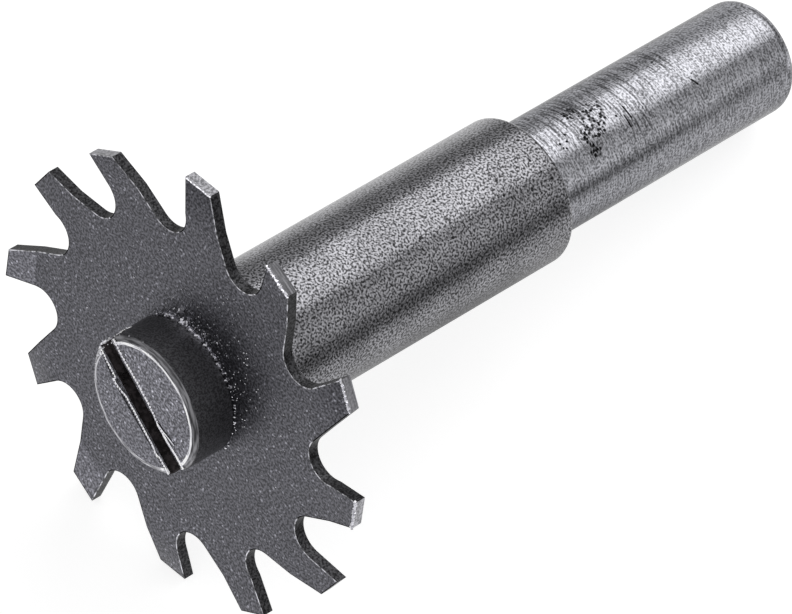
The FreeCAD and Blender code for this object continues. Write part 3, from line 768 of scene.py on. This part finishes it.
def buildScrew():
    s = screw
    slotBottom = s["headHeight"] - s["slotDepth"]
    outline = [(0, s["stemEnd"]), (s["stemRadius"] - s["stemChamfer"], s["stemEnd"]),
               (s["stemRadius"], s["stemEnd"] + s["stemChamfer"]), (s["stemRadius"], 0),
               (s["headRadius"], 0), (s["headRadius"], slotBottom)]
    random.seed(5)
    bm = bmesh.new()
    turnOutline(bm, outline, [(s["headRadius"], 0, s["footRounding"])], s["steps"])
    bmesh.ops.holes_fill(bm, edges=[edge for edge in bm.edges if edge.is_boundary], sides=0)
    bm.normal_update()
    for face in bm.faces:
        face.material_index = screwFinishes.index("barrel")
    cutSlot(bm, slotBottom)
    nameScrewFaces(bm, slotBottom)
    rim = [edge for edge in bm.edges if isLevel(edge, s["headHeight"])
           and all(vert.co.xy.length > s["headRadius"] - onLine for vert in edge.verts)]
    worn = bmesh.ops.bevel(bm, geom=rim, offset=s["headChamfer"], offset_type="OFFSET", segments=1,
                           profile=0.5, affect="EDGES", clamp_overlap=False, material=-1)
    for face in worn["faces"]:
        face.material_index = screwFinishes.index("chamfer")
    bm.normal_update()
    addLips(bm)
    addCurl(bm)
    addEndBurr(bm)
    addRimScuffs(bm)
    finishes = [
        makeFlatFace("screwFaceSteel", s["faceGrey"], s["faceRoughness"], s["faceLevels"], s["sideScuffs"]),
        makePlainSteel("screwBarrelSteel", s["barrelGrey"], roughness=0.5, low=0.6, high=1.4),
        makeSlotInside(),
        makePlainSteel("burrSteel", s["burrGrey"], roughness=0.45, low=0.75, high=1.1, size=0.25),
        makeWornRing("rimSteel", s["rimGrey"], s["rimFarSide"]),
        makeWornRing("screwChamferSteel", s["chamferGrey"], s["chamferFarHighlight"]),
    ]
    flat = [screwFinishes.index(kind) for kind in ("face", "burr", "rim")]
    finishPiece(bm, "clampScrew", finishes, "clamp_screw", softAngle=25, flatFinishes=flat)


buildArbor()
buildDisc()
buildScrew()
print("Tool built")


# Studio: pale floor, a large soft box behind and above, a dim one to the right, dark horizon

studio = {
    "floorSize": 6.0, "floorGrey": 0.5, "floorLift": 0.745,
    # what metal sees of the floor: a painted pool of light under the tool, brighter to the left of it than to
    # the right
    "poolNear": 0.035, "poolFar": 0.076, "poolStretch": 1.8, "poolShift": 0.012,
    "sideLevels": (0.5, 0.24), "sideSpan": 0.08,
    # a painted shadow in that pool, under the tool close to the middle
    "shade": (0.004, 0.0, 0.0), "shadeStretch": 2.0, "shadeReach": 0.012, "shadeLevel": 0.4,
    # what metal sees of the sky, against height: 0 at the horizon, 1 overhead
    "worldLevels": [(0.0, 0.34), (0.1, 0.46), (0.2, 0.58), (0.34, 0.6), (0.5, 0.74), (0.7, 0.62), (1.0, 0.5)],
    # azimuth, elevation, distance, width, height, power
    "topBox": (-15.5, 42, 0.5, 0.48, 0.42, 0.89),
    "sideBox": (45, 22, 0.5, 0.27, 0.25, 0.075),
}


def buildFloor():
    bm = bmesh.new()
    bmesh.ops.create_grid(bm, x_segments=1, y_segments=1, size=studio["floorSize"] / 2)
    mesh = bpy.data.meshes.new("floor")
    bm.to_mesh(mesh)
    bm.free()
    material = bpy.data.materials.new("paleFloor")
    material.use_nodes = True
    tree = material.node_tree
    tree.nodes.remove(tree.nodes["Principled BSDF"])
    path = addNode(tree, "ShaderNodeLightPath")
    grey = studio["floorGrey"]
    matt = addNode(tree, "ShaderNodeBsdfDiffuse", {"Color": (grey, grey, grey, 1)})
    lift = addNode(tree, "ShaderNodeEmission", {
        "Strength": calc(tree, "MULTIPLY", path.outputs["Is Camera Ray"], studio["floorLift"])})
    plain = addNode(tree, "ShaderNodeAddShader", {0: matt.outputs[0], 1: lift.outputs[0]})
    place = addNode(tree, "ShaderNodeTexCoord").outputs["Object"]
    away = addNode(tree, "ShaderNodeMapping", {
        "Vector": place, "Location": (studio["poolShift"], 0, 0), "Scale": (1, 1 / studio["poolStretch"], 1),
    }).outputs["Vector"]
    away = vectorCalc(tree, "LENGTH", {0: away}, "Value")
    # painted pool of light on the floor, seen only by reflections
    left, right = studio["sideLevels"]
    sideways = addNode(tree, "ShaderNodeSeparateXYZ", {"Vector": place}).outputs["X"]
    sides = fade(tree, sideways, -studio["sideSpan"], studio["sideSpan"], left, right)
    pool = fade(tree, away, studio["poolNear"], studio["poolFar"], 1.0, right)
    pool = calc(tree, "MAXIMUM", sides, pool)
    # painted shadow under the tool, in what reflections see of the floor
    fromShade = vectorCalc(tree, "SUBTRACT", {0: place, 1: studio["shade"]})
    fromShade = vectorCalc(tree, "MULTIPLY", {0: fromShade, 1: (1, 1 / studio["shadeStretch"], 1)})
    fromShade = vectorCalc(tree, "LENGTH", {0: fromShade}, "Value")
    shade = fade(tree, fromShade, 0.0, studio["shadeReach"], studio["shadeLevel"], 1.0)
    pool = calc(tree, "MULTIPLY", pool, shade)
    mirrored = addNode(tree, "ShaderNodeEmission", {"Strength": pool})
    glossy = calc(tree, "MAXIMUM", path.outputs["Is Glossy Ray"], path.outputs["Is Transmission Ray"])
    both = addNode(tree, "ShaderNodeMixShader", {0: glossy, 1: plain.outputs[0], 2: mirrored.outputs[0]})
    tree.links.new(both.outputs[0], tree.nodes["Material Output"].inputs["Surface"])
    mesh.materials.append(material)
    floor = bpy.data.objects.new("floor", mesh)
    bpy.context.scene.collection.objects.link(floor)


def buildWorld():
    world = bpy.data.worlds.new("studioWorld")
    bpy.context.scene.world = world
    world.use_nodes = True
    tree = world.node_tree
    direction = addNode(tree, "ShaderNodeTexCoord").outputs["Generated"]
    height = addNode(tree, "ShaderNodeSeparateXYZ", {"Vector": direction}).outputs["Z"]
    levels = addNode(tree, "ShaderNodeValToRGB", {"Fac": height})
    stops = levels.color_ramp.elements
    while len(stops) < len(studio["worldLevels"]):
        stops.new(0.5)
    for stop, (position, level) in zip(stops, studio["worldLevels"]):
        stop.position = position
        stop.color = (level, level, level, 1)
    seen = addNode(tree, "ShaderNodeLightPath").outputs["Is Camera Ray"]
    colour = addNode(tree, "ShaderNodeMix", {       # 6 and 7 are its two colours, and 2 its colour output
        0: seen, 6: levels.outputs["Color"], 7: (1, 1, 1, 1),
    }, data_type="RGBA").outputs[2]
    tree.links.new(colour, tree.nodes["Background"].inputs["Color"])


def addSoftBox(name, azimuth, elevation, distance, width, height, power):
    lamp = bpy.data.objects.new(name, bpy.data.lights.new(name, "AREA"))
    lamp.data.shape = "RECTANGLE"
    lamp.data.size, lamp.data.size_y = width, height
    lamp.data.energy = power
    azimuth, elevation = math.radians(azimuth), math.radians(elevation)
    toward = Vector((math.sin(azimuth) * math.cos(elevation), math.cos(azimuth) * math.cos(elevation),
                     math.sin(elevation)))
    lamp.location = toward * distance
    lamp.rotation_euler = toward.to_track_quat("Z", "Y").to_euler()
    lamp.visible_camera = False
    bpy.context.scene.collection.objects.link(lamp)


buildFloor()
buildWorld()
addSoftBox("topBox", *studio["topBox"])
addSoftBox("sideBox", *studio["sideBox"])


# Camera: heading 0 looks along +Y and grows clockwise from above; lengths in millimetres

view = {
    "heading": -40.172, "lookDown": 59.244, "roll": 9.671,
    "distance": 438.0, "aim": (1.979, -6.951, 9.425), "lens": 317.24, "sensor": 36.0,
}


def buildCamera():
    heading, down = math.radians(view["heading"]), math.radians(view["lookDown"])
    back = Vector((-math.sin(heading) * math.cos(down), -math.cos(heading) * math.cos(down),
                   math.sin(down)))
    camera = bpy.data.objects.new("camera", bpy.data.cameras.new("camera"))
    camera.data.lens = view["lens"]
    camera.data.sensor_fit = "HORIZONTAL"
    camera.data.sensor_width = view["sensor"]
    camera.location = (Vector(view["aim"]) + back * view["distance"]) * mm
    camera.rotation_mode = "QUATERNION"
    roll = Quaternion((0, 0, 1), math.radians(view["roll"]))
    camera.rotation_quaternion = back.to_track_quat("Z", "Y") @ roll
    bpy.context.scene.collection.objects.link(camera)
    bpy.context.scene.camera = camera


buildCamera()
bpy.context.scene.view_settings.view_transform = "Standard"
print("Studio and camera set")
